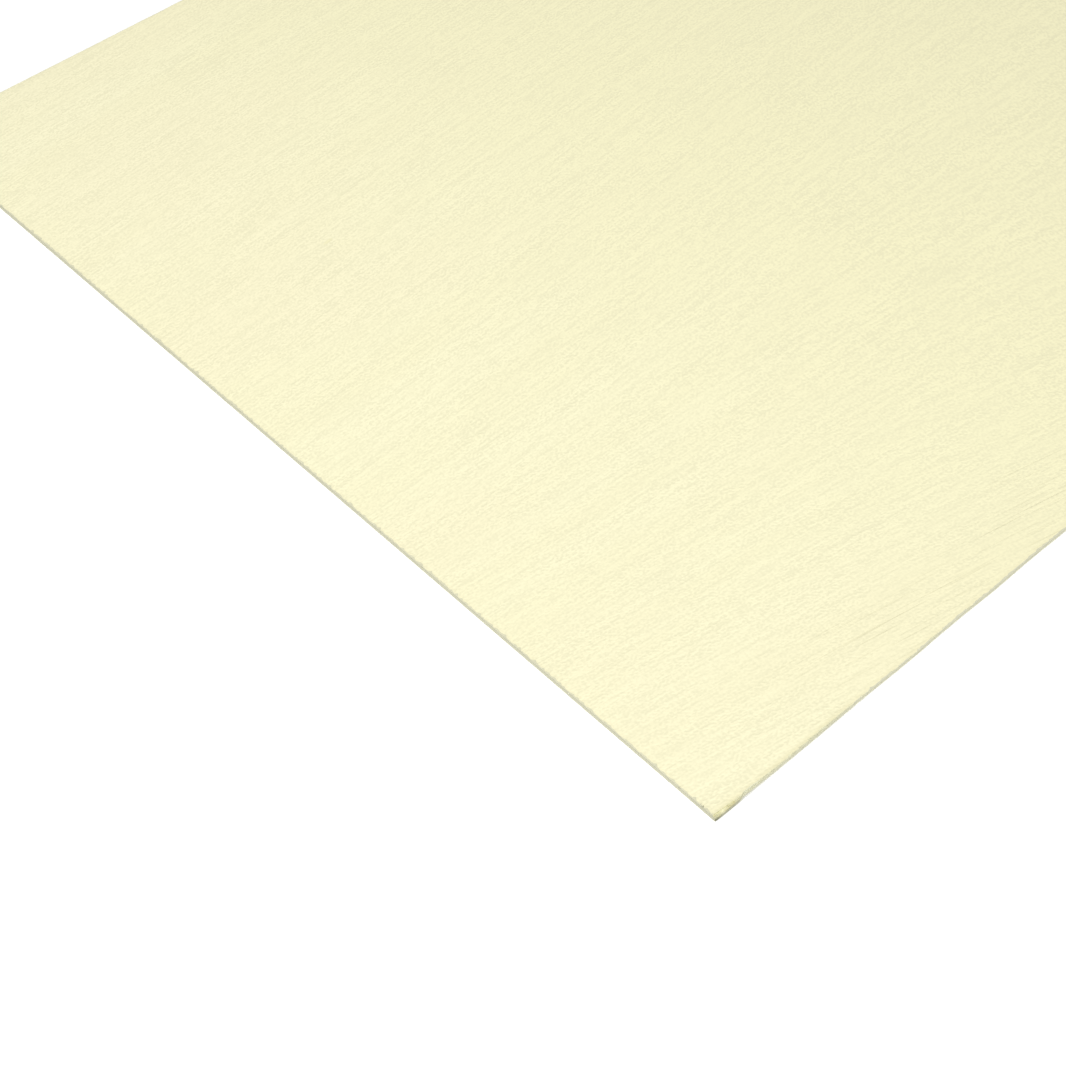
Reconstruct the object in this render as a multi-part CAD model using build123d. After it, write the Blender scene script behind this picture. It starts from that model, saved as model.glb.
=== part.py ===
from build123d import *
from math import cos, radians, tan
import os

# A plywood sheet of three plies, lying flat with its face grain along X.
# The origin is at the middle of the bottom face, with +Z up through the sheet.
# The near corner is the one at the low end of both X and Y.

# Plies, through the thickness
face_ply = 0.8
core_ply = 1.4
sheet_thickness = face_ply + core_ply + face_ply

# Sheet, seen from above
sheet_length = 1220.0
sheet_width = 610.0
corner_radius = 0.6

# Arris: the sanded round between each face and the sawn edges
arris_radius = 0.2

# Grain: the fibres of the face ply lean this far off the long edge, in degrees,
# so that they run out at the near long edge as X grows
grain_slant = 4.5

# Torn strip along the near long edge, as lost splinters in a row from the near corner.
# Each gives its run along the edge, how far in it reached at its start, and the height
# of the step where it broke from the top face.
torn_strip = [
    (4.6, 2.05, 0.34),
    (3.4, 1.75, 0.20),
    (4.1, 1.55, 0.28),
    (5.2, 1.10, 0.14),
    (5.0, 1.35, 0.22),
    (5.6, 1.00, 0.16),
    (6.4, 0.85, 0.12),
    (5.8, 0.70, 0.10),
    (5.0, 0.60, 0.12),
    (6.6, 0.85, 0.14),
    (6.0, 0.80, 0.10),
    (6.8, 0.95, 0.14),
    (6.2, 0.90, 0.12),
    (5.6, 0.65, 0.10),
    (6.0, 0.60, 0.12),
    (4.6, 0.36, 0.08),
]

# Slope of the torn wood, from the foot of that step down to the sawn edge, in degrees
tear_slope = 30.0

# Slivers lost from the top arris further along: the distance of each from the near
# corner, its run along the edge and the height of its step
top_slivers = [
    (91.5, 5.0, 0.18),
    (112.0, 4.2, 0.16),
    (122.5, 6.4, 0.26),
    (138.5, 8.2, 0.16),
    (163.0, 4.8, 0.12),
]

# Splinters lost from the bottom of the same edge: the distance of each from the near
# corner, its run, how far in it reached at its start, and the height of its step
bottom_splinters = [
    (16.6, 4.6, 1.30, 0.10),
    (21.2, 4.2, 0.75, 0.06),
]

# Chips that the saw broke from the face ply at the near end: the distance of each from
# the near corner, its width across the grain, its run along it, and its depth
end_chips = [
    (7.2, 1.3, 0.9, 0.6),
    (21.0, 0.9, 0.6, 0.4),
]

# How far each cutting block reaches past the sheet, so that it cuts right through
cut_overrun = 1.0

near_end = -sheet_length / 2
near_side = -sheet_width / 2


def lean(run):
    """How far the grain moves across the sheet over a run along its long edge."""
    return run * tan(radians(grain_slant))


def side_splinter(start, run, reach, step):
    """The space of one splinter lost from the top of the near long edge.

    The start is measured along the edge from the near corner, and the reach is how far
    in the splinter goes there. Its section stays the same along the grain, so it goes
    less far in as it runs. One that starts at the corner leaves through the near end.
    """
    back = 0.0 if start > 0 else cut_overrun
    outside = near_side - cut_overrun
    inside = near_side + reach + lean(back)
    foot = sheet_thickness - step
    above = sheet_thickness + cut_overrun
    corners = [
        (inside, above),
        (inside, foot),
        (outside, foot - (inside - outside) * tan(radians(tear_slope))),
        (outside, above),
    ]
    section = Plane.YZ.offset(near_end + start - back) * make_face(Polyline(*corners, close=True))
    along_grain = Vector(1, -lean(1), 0)
    return extrude(section, (run + back) / cos(radians(grain_slant)), dir=along_grain)


def torn_spaces():
    """The spaces of the torn strip, from the near corner to where it runs out."""
    start = 0.0
    spaces = []
    for run, reach, step in torn_strip:
        spaces.append(side_splinter(start, run, reach, step))
        start += run
    return spaces


def end_chip(distance, width, run, depth):
    """The space of one chip at the near end: a blunt wedge that follows the grain."""
    low = near_side + distance
    outside = near_end - cut_overrun
    corners = [
        (outside, low),
        (near_end + run, low + width / 3 - lean(run)),
        (near_end + run, low + 2 * width / 3 - lean(run)),
        (outside, low + width),
    ]
    floor = sheet_thickness - depth
    outline = Plane.XY.offset(floor) * make_face(Polyline(*corners, close=True))
    return extrude(outline, depth + cut_overrun)


def sheet_blank():
    """The whole sheet with its corners and arrises rounded, before any damage."""
    outline = RectangleRounded(sheet_length, sheet_width, corner_radius)
    blank = extrude(outline, sheet_thickness)
    faces = blank.faces().sort_by(Axis.Z)
    return fillet(faces[0].edges() + faces[-1].edges(), arris_radius)


def plywood_sheet():
    """The sheet as one solid, with its torn corner, lost splinters and saw chips."""
    lost = torn_spaces()
    for distance, run, step in top_slivers:
        lost.append(side_splinter(distance, run, lean(run), step))
    for splinter in bottom_splinters:
        lost.append(mirror(side_splinter(*splinter), Plane.XY.offset(sheet_thickness / 2)))
    for distance, width, run, depth in end_chips:
        lost.append(end_chip(distance, width, run, depth))
    return sheet_blank() - lost


os.makedirs("parts", exist_ok=True)
sheet = plywood_sheet()
export_step(sheet, "parts/plywood_sheet.step")
box = sheet.bounding_box()
print("plywood_sheet", round(sheet.volume), "cubic mm,", box.size)
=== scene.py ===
"""Looks of a thin plywood sheet: its pale veneer faces, sawn edges and torn corner.

The sheet lies flat. Its face grain runs along X, and the near corner is the one at the
low end of both X and Y. Every length is in metres.
"""

import logging
import math
from collections.abc import Iterator, Sequence
from dataclasses import dataclass, field
from enum import Enum, IntEnum
from functools import cached_property
from typing import TypeAlias

import bpy
import numpy as np
from mathutils import Matrix, Vector
from mathutils.geometry import delaunay_2d_cdt


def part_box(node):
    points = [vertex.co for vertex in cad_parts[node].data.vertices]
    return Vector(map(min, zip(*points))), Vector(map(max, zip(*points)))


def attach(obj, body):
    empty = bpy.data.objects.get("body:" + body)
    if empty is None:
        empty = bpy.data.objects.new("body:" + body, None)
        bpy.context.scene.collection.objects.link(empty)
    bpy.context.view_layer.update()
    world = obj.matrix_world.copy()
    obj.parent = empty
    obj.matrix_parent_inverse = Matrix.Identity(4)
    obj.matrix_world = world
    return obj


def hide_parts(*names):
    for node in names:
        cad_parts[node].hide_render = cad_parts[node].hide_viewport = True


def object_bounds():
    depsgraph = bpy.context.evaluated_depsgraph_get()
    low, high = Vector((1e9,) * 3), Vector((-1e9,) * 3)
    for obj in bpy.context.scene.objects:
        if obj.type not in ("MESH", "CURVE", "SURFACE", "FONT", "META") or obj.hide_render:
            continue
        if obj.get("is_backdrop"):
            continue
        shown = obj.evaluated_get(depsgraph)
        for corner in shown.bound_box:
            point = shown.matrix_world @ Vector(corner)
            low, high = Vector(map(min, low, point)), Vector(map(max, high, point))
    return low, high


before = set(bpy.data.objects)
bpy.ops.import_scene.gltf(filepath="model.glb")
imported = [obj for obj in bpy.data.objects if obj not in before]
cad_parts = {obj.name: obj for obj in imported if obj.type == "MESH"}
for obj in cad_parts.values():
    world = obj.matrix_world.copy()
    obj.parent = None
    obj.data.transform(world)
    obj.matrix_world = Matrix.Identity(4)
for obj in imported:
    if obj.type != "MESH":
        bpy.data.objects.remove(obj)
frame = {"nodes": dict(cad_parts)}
cad_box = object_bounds()

MM = 0.001
SHEET_NODE = "plywood_sheet"
BODY = "root"
# Lean of the face grain off the long edge: it runs out at the near side as X grows
GRAIN_LEAN = math.radians(4.5)
# Slope of the torn wood down to the sawn edge
TEAR_SLOPE = math.radians(30.0)

log = logging.getLogger(SHEET_NODE)

Colour: TypeAlias = tuple[float, float, float]
# What a sum of shader maths may hold
Term: TypeAlias = "Field | float"


# Shader maths


@dataclass(frozen=True)
class Field:
    """A value that varies over a surface, so that shader maths can be written as sums.

    Attributes:
        bench: The bench whose node tree holds the value.
        socket: The output socket that carries it.
    """

    bench: "Bench"
    socket: bpy.types.NodeSocket

    def _maths(self, operation: str, *terms: Term) -> "Field":
        """Adds one Math node.

        Args:
            operation: The Math node's operation.
            terms: The values of its sockets, in order.

        Returns:
            The node's result.
        """
        return self.bench.node("ShaderNodeMath", {"operation": operation}, dict(enumerate(terms)))

    def __add__(self, other: Term) -> "Field":
        """The sum."""
        return self._maths("ADD", self, other)

    def __radd__(self, other: float) -> "Field":
        """The sum, reflected."""
        return self._maths("ADD", other, self)

    def __sub__(self, other: Term) -> "Field":
        """The difference."""
        return self._maths("SUBTRACT", self, other)

    def __rsub__(self, other: float) -> "Field":
        """The difference, reflected."""
        return self._maths("SUBTRACT", other, self)

    def __mul__(self, other: Term) -> "Field":
        """The product."""
        return self._maths("MULTIPLY", self, other)

    def __rmul__(self, other: float) -> "Field":
        """The product, reflected."""
        return self._maths("MULTIPLY", other, self)

    def __truediv__(self, other: Term) -> "Field":
        """The quotient."""
        return self._maths("DIVIDE", self, other)

    def __rtruediv__(self, other: float) -> "Field":
        """The quotient, reflected."""
        return self._maths("DIVIDE", other, self)

    def __abs__(self) -> "Field":
        """The size without its sign."""
        return self._maths("ABSOLUTE", self)

    def rise(self, low: float, high: float) -> "Field":
        """A smooth step up, from 0 at low to 1 at high."""
        values = {"Value": self, "From Min": low, "From Max": high}
        return self.bench.node("ShaderNodeMapRange", {"interpolation_type": "SMOOTHSTEP"}, values)

    def fall(self, low: float, high: float) -> "Field":
        """A smooth step down, from 1 at low to 0 at high."""
        return 1.0 - self.rise(low, high)


class Bench:
    """The node tree of one material, and the one method that adds nodes to it."""

    def __init__(self, name: str) -> None:
        """Starts a material.

        Args:
            name: The material's name.
        """
        self.material = bpy.data.materials.new(name)
        self.material.use_nodes = True
        self.tree = self.material.node_tree
        self.shader = self.tree.nodes["Principled BSDF"]

    def node(
        self,
        kind: str,
        settings: dict[str, object] | None = None,
        values: dict[int | str, object] | None = None,
        out: int | str = 0,
    ) -> Field:
        """Adds one node.

        Args:
            kind: The node's type.
            settings: Its settings, which are made first.
            values: A number, a colour or a Field for each socket, by place or name.
            out: The output that is wanted, by place or name.

        Returns:
            The wanted output.
        """
        made = self.tree.nodes.new(kind)
        for name, setting in (settings or {}).items():
            setattr(made, name, setting)
        for key, value in (values or {}).items():
            self.feed(made.inputs[key], value)
        return Field(self, made.outputs[out])

    def feed(self, socket: bpy.types.NodeSocket, value: object) -> None:
        """Links a Field to a socket, or sets a plain value on it.

        Args:
            socket: The input socket.
            value: A Field, a number or a colour.
        """
        if isinstance(value, Field):
            self.tree.links.new(value.socket, socket)
        else:
            socket.default_value = value

    def parts(self, kind: str, out: str) -> tuple[Field, Field, Field]:
        """The X, Y and Z of a vector that a node gives out.

        Args:
            kind: The node's type.
            out: The name of its vector output.

        Returns:
            The three parts.
        """
        vector = self.node(kind, out=out)
        split = "ShaderNodeSeparateXYZ"
        x, y, z = (self.node(split, values={0: vector}, out=axis) for axis in "XYZ")
        return x, y, z

    def noise(self, where: Sequence[Term], detail: float = 2.0, roughness: float = 0.5) -> Field:
        """Smooth noise.

        Args:
            where: The place in the noise, at about one feature to the unit.
            detail: How many finer layers it has.
            roughness: How strong the finer layers are.

        Returns:
            The noise, about 0.5.
        """
        point = self.node("ShaderNodeCombineXYZ", values=dict(enumerate(where)))
        values = {"Vector": point, "Scale": 1.0, "Detail": detail, "Roughness": roughness}
        return self.node("ShaderNodeTexNoise", values=values)

    def spots(self, where: Sequence[Term]) -> Field:
        """The distance to the nearest of many scattered spots.

        Args:
            where: The place among the spots, at about one spot to the unit.

        Returns:
            The distance, in the same units.
        """
        point = self.node("ShaderNodeCombineXYZ", values=dict(enumerate(where)))
        return self.node("ShaderNodeTexVoronoi", values={"Vector": point, "Scale": 1.0})

    def blend(self, share: Term, first: object, second: object) -> Field:
        """Mixes two colours.

        Args:
            share: How much of the second colour shows.
            first: The colour at a share of 0, as a Field or as red, green and blue.
            second: The colour at a share of 1.

        Returns:
            The mixed colour.
        """
        pair = [c if isinstance(c, Field) else (*c, 1.0) for c in (first, second)]
        values = {0: share, 6: pair[0], 7: pair[1]}
        return self.node("ShaderNodeMix", {"data_type": "RGBA"}, values, out=2)

    def coats(self, base: object, *coats: tuple[Term, object]) -> Field:
        """Lays colours over each other.

        Args:
            base: The lowest colour.
            coats: How much of each further colour shows, with the colour, from below.

        Returns:
            The mixed colour.
        """
        for share, colour in coats:
            base = self.blend(share, base, colour)
        return base

    def finish(
        self, colour: object, roughness: Term, height: Field, depth: float
    ) -> bpy.types.Material:
        """Feeds the surface's shader.

        Args:
            colour: The base colour.
            roughness: The roughness.
            height: The relief, from 0 to 1.
            depth: How deep a relief of 1 is.

        Returns:
            The finished material.
        """
        bump = self.node("ShaderNodeBump", values={"Distance": depth, "Height": height})
        self.feed(self.shader.inputs["Base Color"], colour)
        self.feed(self.shader.inputs["Roughness"], roughness)
        self.feed(self.shader.inputs["Normal"], bump)
        self.feed(self.shader.inputs["Specular IOR Level"], 0.3)
        return self.material


# Finishes


@dataclass(frozen=True)
class Figure:
    """One layer of the figure of wood: noise that is drawn out along the grain.

    Attributes:
        length: How long its features are.
        width: How wide they are.
        layer: Its own layer of the noise, so that no two figures look alike.
        detail: How many finer layers it has.
        roughness: How strong the finer layers are.
    """

    length: float
    width: float
    layer: float = 0.0
    detail: float = 2.0
    roughness: float = 0.5


@dataclass(frozen=True)
class Veneer:
    """The finish of the face plies: pale, sanded and unfinished, with short fine fibres.

    Attributes:
        near_corner: The sheet's near corner, from which what varies over the face is placed.
        pale: The colour of most of it.
        deep: The colour of its broad, faint darker bands.
        rosy: The colour that it drifts towards here and there, very slowly.
        golden: The colour that it turns to away from the near end.
        valley: The colour between the raised fibres: grain colour with painted shade of the
            relief.
        line: The colour of its longer grain lines.
        fleck: The colour of its few small flecks.
        rubbed: The colour that it turns to beside the torn corner and the near edges.
        relief: How deep its grain is.
        bands: The figure of its broad bands.
        mood: The figure of its slow drift of colour.
        fibres: The figure of its short fibres.
        strands: The figure of the longer fibres among them.
        crinkle: The figure of its fine crinkle, which hardly follows the grain.
        patches: The figure of where the grain stands out more or less.
        seldom: The figure of where grain lines are.
        threads: The figure of the grain lines themselves.
    """

    near_corner: Vector
    pale: Colour = (0.771, 0.740, 0.509)
    deep: Colour = (0.751, 0.713, 0.469)
    rosy: Colour = (0.767, 0.721, 0.497)
    golden: Colour = (0.758, 0.727, 0.471)
    valley: Colour = (0.640, 0.613, 0.417)
    line: Colour = (0.555, 0.524, 0.335)
    fleck: Colour = (0.600, 0.550, 0.230)
    rubbed: Colour = (0.640, 0.600, 0.380)
    relief: float = 0.32 * MM
    bands: Figure = Figure(500.0 * MM, 30.0 * MM, detail=3.0)
    mood: Figure = Figure(300.0 * MM, 120.0 * MM, layer=2.0, detail=1.0)
    fibres: Figure = Figure(8.0 * MM, 1.5 * MM, roughness=0.6)
    strands: Figure = Figure(50.0 * MM, 2.4 * MM, detail=1.0)
    crinkle: Figure = Figure(1.5 * MM, 1.2 * MM, layer=3.0, detail=0.0)
    patches: Figure = Figure(50.0 * MM, 12.0 * MM, layer=9.0)
    seldom: Figure = Figure(90.0 * MM, 14.0 * MM, layer=5.0)
    threads: Figure = Figure(55.0 * MM, 1.2 * MM, layer=6.0, detail=1.0)

    def material(self) -> bpy.types.Material:
        """Makes the material.

        Returns:
            The material.
        """
        bench = Bench("face_veneer")
        x, y, z = bench.parts("ShaderNodeTexCoord", "Object")
        from_end, from_side = x - self.near_corner.x, y - self.near_corner.y
        # The two faces are different leaves of veneer, far apart in the noise
        leaf = z.rise(1.0 * MM, 2.0 * MM) * 37.0
        along = x * math.cos(GRAIN_LEAN) - y * math.sin(GRAIN_LEAN)
        straight = x * math.sin(GRAIN_LEAN) + y * math.cos(GRAIN_LEAN)
        # The grain swings: it leans out the most at the near side, and in further from it
        swing = from_side.rise(-0.03, 0.36) * 0.29 - 0.115
        stretch = from_end.rise(-0.35, 0.75) * 0.733 - 0.25
        drift = bench.noise((along / 0.34, straight / 0.16, leaf), detail=0.0) - 0.5
        sway = bench.noise((along / 0.08, straight / 0.05, leaf), detail=1.0) - 0.5
        across = straight - swing * stretch + drift * (8.0 * MM) + sway * (1.4 * MM)

        def drawn(figure: Figure) -> Field:
            """The noise of one figure, along this grain."""
            where = (along / figure.length, across / figure.width, leaf + figure.layer)
            return bench.noise(where, figure.detail, figure.roughness)

        # The longer grain lines are crowded along the near side, away from the corner
        by_side = from_side.fall(0.02, 0.06) * from_end.rise(0.04, 0.12)
        seldom = drawn(self.seldom).rise(0.42, 0.62)
        seldom += (1.0 - seldom) * by_side * 0.5
        lines = drawn(self.threads).rise(0.54, 0.74) * seldom * (0.20 + by_side * 1.10)
        flecks = bench.spots((along / 0.12, across / 0.036, leaf)).fall(0.015, 0.035)

        fibres = drawn(self.fibres)
        strength = 0.70 + drawn(self.patches).rise(0.36, 0.64) * 0.60 - by_side * 0.15
        grain = fibres * 0.38 + drawn(self.crinkle) * 0.38 + drawn(self.strands) * 0.24 - 0.5
        relief = grain * strength
        # It is rubbed round the torn corner, then along the near side and the near end
        rubbed = from_side.fall(2.0 * MM, 6.0 * MM) * from_end.fall(9.0 * MM, 19.0 * MM) * 0.35
        rubbed += from_side.fall(0.8 * MM, 3.4 * MM) * (0.32 + from_end.fall(0.07, 0.10) * 0.26)
        rubbed += from_end.fall(0.6 * MM, 2.8 * MM) * 0.22
        colour = bench.coats(
            self.pale,
            (drawn(self.bands).rise(0.40, 0.64) * 0.40, self.deep),
            (drawn(self.mood).rise(0.38, 0.62) * 0.6, self.rosy),
            # Painted shade: yellower and a little darker away from the near end, where the light
            # falls off
            (from_end.rise(0.06, 0.34) * 0.8, self.golden),
            # Between the raised fibres: grain colour with painted shade of the relief
            (relief.fall(-0.12, 0.10) * 0.58, self.valley),
            (lines * 0.34, self.line),
            (flecks * 0.18, self.fleck),
            (rubbed, self.rubbed),
        )
        return bench.finish(colour, 0.60 + fibres * 0.12, relief - lines * 0.20, self.relief)


@dataclass(frozen=True)
class SawnEdge:
    """The finish of the sawn edges, where the three plies show.

    Attributes:
        face_ply: The thickness of each face ply.
        thickness: The thickness of the sheet.
        near_corner: The sheet's near corner, which was knocked.
        long_grain: The colour of a ply cut along its fibres.
        end_grain: The colour of a ply cut across its fibres.
        pore: The colour of the pores in end grain.
        glue: The colour of the glue lines.
        painted_light_low: The painted light towards the bottom, which lightens it against the
            shade along the floor.
        veneer: The colour towards the top face at the ends, where fibres of it hang on.
        knock_shade: The painted shade low down on the edge at the knocked corner.
        relief: How deep the saw marks and pores are.
    """

    face_ply: float
    thickness: float
    near_corner: Vector
    long_grain: Colour = (0.505, 0.497, 0.375)
    end_grain: Colour = (0.486, 0.477, 0.352)
    pore: Colour = (0.350, 0.335, 0.235)
    glue: Colour = (0.360, 0.325, 0.215)
    painted_light_low: Colour = (0.680, 0.672, 0.520)
    veneer: Colour = (0.755, 0.725, 0.490)
    knock_shade: Colour = (0.138, 0.136, 0.080)
    relief: float = 0.07 * MM

    def material(self) -> bpy.types.Material:
        """Makes the material.

        Returns:
            The material.
        """
        bench = Bench("sawn_edge")
        x, y, z = bench.parts("ShaderNodeTexCoord", "Object")
        _, normal_y, _ = bench.parts("ShaderNodeNewGeometry", "Normal")
        # It is at an end where it lies close to one and doesn't face a long side
        by_end = abs(self.near_corner.x) - 3.0 * MM
        at_end = abs(x).rise(by_end - 0.1 * MM, by_end) * abs(normal_y).fall(0.3, 0.6)
        # Along an edge only one of X and Y changes, so their sum runs along all four
        run = x + y
        middle = self.thickness / 2
        wave = bench.noise((run / (12.0 * MM), 3.0)) - 0.5
        from_middle = abs(z - middle + wave * (0.10 * MM))
        half_core = middle - self.face_ply
        in_face = from_middle.rise(half_core - 0.03 * MM, half_core + 0.03 * MM)
        end_cut = in_face * at_end + (1.0 - in_face) * (1.0 - at_end)
        glue_line = abs(from_middle - half_core).fall(0.02 * MM, 0.08 * MM)

        stripes = bench.noise((run / (12.0 * MM), z / (0.16 * MM)), detail=3.0)
        pores = bench.noise((run / (0.34 * MM), z / (0.30 * MM)), roughness=0.7)
        saw_marks = bench.noise(((run + z * 0.5) / (1.1 * MM), 7.0))
        tone = bench.noise((run / (50.0 * MM), z / (1.2 * MM)))
        from_corner = abs(x - self.near_corner.x) + abs(y - self.near_corner.y)
        knocked = from_corner.fall(13.5 * MM, 17.0 * MM) * 0.46
        knocked += from_corner.fall(1.0 * MM, 5.0 * MM) * 0.48
        level = z + wave * (0.6 * MM)
        # Painted shade low down on the edge at the knocked corner, under the torn strip
        knock_shade = level.fall(1.8 * MM, 2.8 * MM) * knocked * (1.0 - at_end * 0.8)

        along = bench.blend(stripes.rise(0.40, 0.66) * 0.55, self.long_grain, self.end_grain)
        across = bench.blend(pores.fall(0.34, 0.50) * 0.70, self.end_grain, self.pore)
        colour = bench.coats(
            along,
            (end_cut, across),
            (tone.rise(0.45, 0.75) * 0.35, self.end_grain),
            (saw_marks.rise(0.50, 0.70) * 0.16, self.pore),
            # Painted light: lighter towards the bottom, against the shade along the floor
            (level.fall(0.4 * MM, 1.6 * MM) * 0.55, self.painted_light_low),
            (z.rise(2.5 * MM, 3.0 * MM) * at_end * 0.24, self.veneer),
            (glue_line * 0.6, self.glue),
            (knock_shade, self.knock_shade),
        )
        height = stripes * 0.25 + pores * end_cut * 0.55 + saw_marks * 0.35 - glue_line * 0.5
        return bench.finish(colour, 0.78 + tone * 0.1, height, self.relief)


@dataclass(frozen=True)
class TornWood:
    """The finish of torn wood: raw yellow fibres with darker gaps, greyer where it is worn.

    Attributes:
        near_corner: The sheet's near corner, where the tear is fresh.
        fibre: The colour of the raised fibres.
        gap: The colour between them.
        worn: The colour of the worn part further along.
        knock_shade: The painted shade of its lowest part, at the knocked corner.
        relief: How deep the gaps are.
    """

    near_corner: Vector
    fibre: Colour = (0.685, 0.665, 0.434)
    gap: Colour = (0.430, 0.412, 0.250)
    worn: Colour = (0.606, 0.606, 0.460)
    knock_shade: Colour = (0.235, 0.228, 0.138)
    relief: float = 0.16 * MM

    def material(self) -> bpy.types.Material:
        """Makes the material.

        Returns:
            The material.
        """
        bench = Bench("torn_wood")
        x, y, z = bench.parts("ShaderNodeTexCoord", "Object")
        along = x * math.cos(GRAIN_LEAN) - y * math.sin(GRAIN_LEAN)
        across = x * math.sin(GRAIN_LEAN) + y * math.cos(GRAIN_LEAN)
        where = (along / (3.5 * MM), across / (0.22 * MM), z / (0.3 * MM))
        threads = bench.noise(where, detail=3.0)
        patches = bench.noise((along / (6.0 * MM), across / (0.9 * MM), 4.0), detail=1.0)
        from_end = x - self.near_corner.x
        gaps = (threads * 0.35 + patches * 0.65).fall(0.40, 0.58)
        gaps *= 1.0 - from_end.rise(14.0 * MM, 18.0 * MM) * 0.7
        # Past its fresh tip, painted shade darkens the tear the deeper it goes
        shaded_span = from_end.rise(4.0 * MM, 13.0 * MM) * from_end.fall(16.0 * MM, 18.0 * MM)
        knocked = from_end.fall(14.0 * MM, 17.0 * MM)
        colour = bench.coats(
            self.fibre,
            (gaps, self.gap),
            (shaded_span * z.fall(2.4 * MM, 3.1 * MM) * 0.75, self.gap),
            (from_end.rise(11.0 * MM, 18.0 * MM) * 0.8, self.worn),
            (from_end.rise(20.0 * MM, 27.0 * MM) * 0.24, self.gap),
            # Painted shade on the lowest part of the tear, at the knocked corner
            (z.fall(1.75 * MM, 2.25 * MM) * knocked * 0.8, self.knock_shade),
        )
        return bench.finish(colour, 0.85, threads, self.relief)


@dataclass(frozen=True)
class StudioFloor:
    """The finish of the floor: plain, matt and nearly white.

    Attributes:
        white: Its colour.
    """

    white: Colour = (0.96, 0.96, 0.96)

    def material(self) -> bpy.types.Material:
        """Makes the material.

        Returns:
            The material.
        """
        bench = Bench("studio_floor")
        bench.feed(bench.shader.inputs["Base Color"], (*self.white, 1.0))
        bench.feed(bench.shader.inputs["Roughness"], 0.9)
        bench.feed(bench.shader.inputs["Specular IOR Level"], 0.0)
        return bench.material


# Shapes


def put_in_scene(name: str, data: bpy.types.ID) -> bpy.types.Object:
    """Puts a new object into the scene.

    Args:
        name: Its name.
        data: Its mesh, light or camera.

    Returns:
        The object.
    """
    made = bpy.data.objects.new(name, data)
    bpy.context.scene.collection.objects.link(made)
    return made


def mesh_piece(
    name: str, points: Sequence[Sequence[float]], faces: Sequence[Sequence[int]]
) -> bpy.types.Object:
    """Makes a piece from its points and faces.

    Args:
        name: The piece's name.
        points: The X, Y and Z of each point.
        faces: The points of each face, counter-clockwise seen from outside.

    Returns:
        The piece.
    """
    mesh = bpy.data.meshes.new(name)
    mesh.from_pydata(points, [], faces)
    mesh.update()
    return put_in_scene(name, mesh)


class Seed(IntEnum):
    """The seeds of chance, one for each thing that varies by itself."""

    BOTTOM_PLY = 1
    CORE = 2
    TOP_PLY = 3
    SAWN_EDGE = 11
    TORN_FLOOR = 23
    TORN_LINE = 31
    FRAYING = 41
    BOTTOM_FACE = 51
    TOP_FACE = 52
    FIBRES = 61
    SAW_WANDER = 71


class Side(Enum):
    """The sheet's four edges, in order round it from the near corner."""

    NEAR_SIDE = 0
    FAR_END = 1
    FAR_SIDE = 2
    NEAR_END = 3

    @property
    def cuts_face_fibres(self) -> bool:
        """Whether the saw crossed the fibres of the face plies along this edge."""
        return self in (Side.FAR_END, Side.NEAR_END)

    @property
    def raggedness(self) -> float:
        """How far the saw frayed the top arris, in arris radii: the most at the two ends."""
        return {Side.NEAR_SIDE: 1.5, Side.FAR_SIDE: 0.9}.get(self, 2.8)


class Skin(Enum):
    """The places of the three finishes in the sheet's material slots."""

    FACE = 0
    EDGE = 1
    TORN = 2


@dataclass(frozen=True)
class Wander:
    """Seeded smooth waviness, as a sum of waves of random length and phase.

    Attributes:
        seed: The seed of the waves.
        shortest: The shortest wave.
        longest: The longest wave.
        waves: How many waves are added.
    """

    seed: int
    shortest: float
    longest: float
    waves: int = 14

    def _waves(self) -> Iterator[tuple[float, float, float]]:
        """Draws the waves.

        Returns:
            Each wave's length, phase and heading.
        """
        rng = np.random.default_rng(self.seed)
        for _ in range(self.waves):
            share = rng.random()
            length = self.shortest * (self.longest / self.shortest) ** share
            yield length, rng.random() * math.tau, rng.random() * math.tau

    def along(self, distance: np.ndarray) -> np.ndarray:
        """The waviness along a line, mostly from -1 to 1."""
        turns = (math.tau * distance / length + phase for length, phase, _ in self._waves())
        return sum(np.sin(t) for t in turns) / math.sqrt(self.waves)

    def over(self, x: np.ndarray, y: np.ndarray) -> np.ndarray:
        """The waviness over a face.

        Args:
            x: The X of each point.
            y: The Y of each point.

        Returns:
            The waviness at each point, mostly from -1 to 1.
        """
        total = np.zeros_like(x)
        for length, phase, heading in self._waves():
            reach = x * math.cos(heading) + y * math.sin(heading)
            total += np.sin(math.tau * reach / length + phase)
        return total / math.sqrt(self.waves)


@dataclass(frozen=True)
class Splinter:
    """A splinter that is gone from one face at the near side.

    The torn wood left there steps away from the face and then slopes to the sawn edge.

    Attributes:
        start: Where it starts, along the edge from the near corner.
        run: How long it was.
        reach_at_start: How far in from the edge it reached at its start.
        reach_at_end: How far in it reached at its end.
        step: The height of the step.
    """

    start: float
    run: float
    reach_at_start: float
    reach_at_end: float
    step: float

    @property
    def end(self) -> float:
        """Where it ends, along the edge from the near corner."""
        return self.start + self.run

    def reach(self, distance: float) -> float:
        """How far in from the edge it reached at a place along the edge."""
        share = (distance - self.start) / self.run
        return self.reach_at_start + (self.reach_at_end - self.reach_at_start) * share

    def depth(self, distance: float, inset: float) -> float:
        """How far the torn wood lies behind the face.

        Args:
            distance: The place, along the edge from the near corner.
            inset: How far in from the edge it is.

        Returns:
            The depth.
        """
        return self.step + max(0.0, self.reach(distance) - inset) * math.tan(TEAR_SLOPE)


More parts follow.
